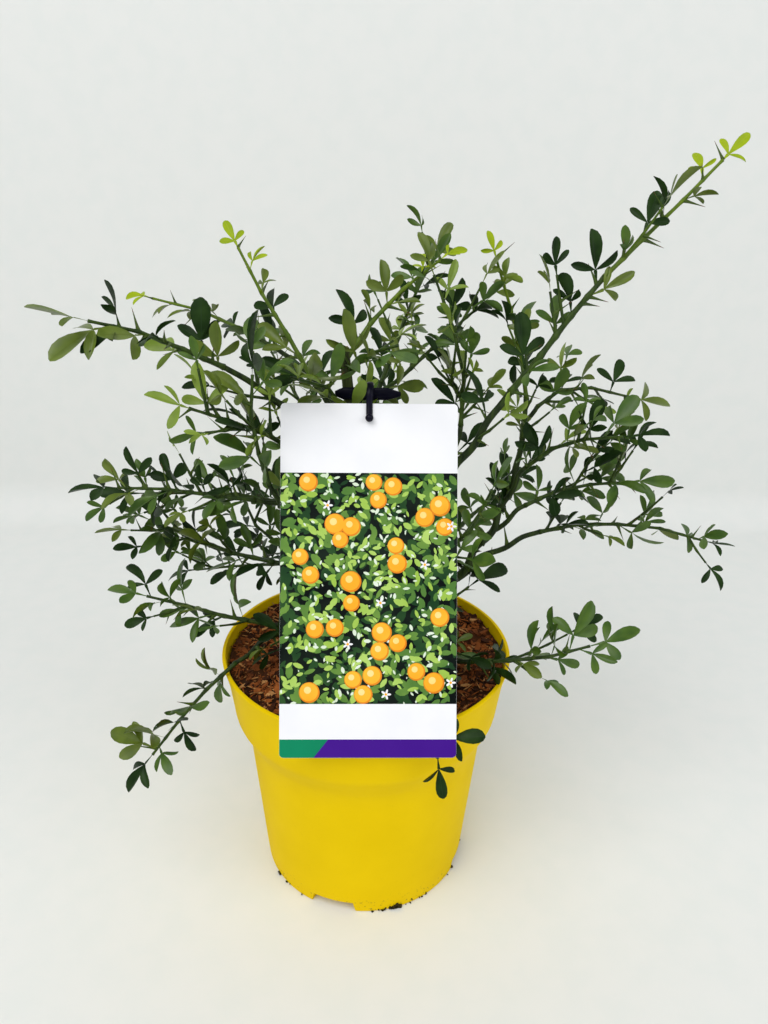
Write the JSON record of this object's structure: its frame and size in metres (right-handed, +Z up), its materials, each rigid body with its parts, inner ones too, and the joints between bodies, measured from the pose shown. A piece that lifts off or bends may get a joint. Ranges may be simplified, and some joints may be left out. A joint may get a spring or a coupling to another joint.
{
  "type": "potted trifoliate orange",
  "caption": "Small thorny citrus tree with compound leaves in a round nursery pot, with a plain hang card tied to its trunk and leaning on the rim.",
  "frame": {"origin": "centre of the pot's flat underside", "axes": "+Z up along the pot's axis, -Y towards the front, where the label hangs"},
  "size_m": [0.4952, 0.335, 0.5772],
  "materials": {
    "yellow_plastic": "satin-glossy injection-moulded plastic",
    "bark_chips": "rough potting mix of bark chips and fibre",
    "trunk_bark": "matte dark green-brown bark",
    "green_bark": "satin green bark",
    "dark_leaf": null,
    "bright_leaf": null,
    "white_card": "smooth coated card",
    "black_plastic": "satin moulded plastic"
  },
  "bodies": {
    "root": {"pot": "yellow_plastic", "soil": "bark_chips", "label_card": "white_card", "label_tie": "black_plastic", "trunk": "trunk_bark", "right_main_bough": "green_bark", "right_rise_bough": "green_bark", "mid_right_bough": "green_bark", "right_low_bough": "green_bark", "right_mid_bough": "green_bark", "right_mid_up_bough": "green_bark", "right_upper_bough": "green_bark", "right_bottom_bough": "green_bark", "left_reach_bough": "green_bark", "left_rise_bough": "green_bark", "left_mid_bough": "green_bark", "left_low_mid_bough": "green_bark", "left_low_bough": "green_bark", "left_hang_bough": "green_bark", "up_left_bough": "green_bark", "back_left_bough": "green_bark", "back_right_low_bough": "green_bark", "back_mid_bough": "green_bark", "back_left_mid_bough": "green_bark", "back_high_bough": "green_bark", "back_low_bough": "green_bark", "right_main_foliage": "dark_leaf", "right_rise_foliage": "dark_leaf", "mid_right_foliage": "dark_leaf", "right_low_foliage": "dark_leaf", "right_mid_foliage": "dark_leaf", "right_mid_up_foliage": "dark_leaf", "right_upper_foliage": "dark_leaf", "right_bottom_foliage": "dark_leaf", "right_rim_foliage": "dark_leaf", "right_foot_foliage": "dark_leaf", "right_front_foliage": "dark_leaf", "left_reach_foliage": "dark_leaf", "left_rise_foliage": "dark_leaf", "left_fill_foliage": "bright_leaf", "left_mid_foliage": "dark_leaf", "left_mid_low_foliage": "dark_leaf", "left_low_mid_foliage": "dark_leaf", "left_shoot_foliage": "dark_leaf", "left_back_low_foliage": "dark_leaf", "left_low_foliage": "dark_leaf", "left_hang_foliage": "dark_leaf", "up_left_foliage": "dark_leaf", "back_left_foliage": "dark_leaf", "crown_foliage": "dark_leaf", "crown_back_foliage": "dark_leaf", "label_left_foliage": "bright_leaf", "label_right_foliage": "bright_leaf", "front_low_foliage": "dark_leaf", "front_hang_foliage": "dark_leaf", "back_right_low_foliage": "dark_leaf", "back_mid_foliage": "dark_leaf", "back_left_mid_foliage": "dark_leaf", "back_high_foliage": "dark_leaf", "back_low_foliage": "dark_leaf"}
  },
  "joints": []
}
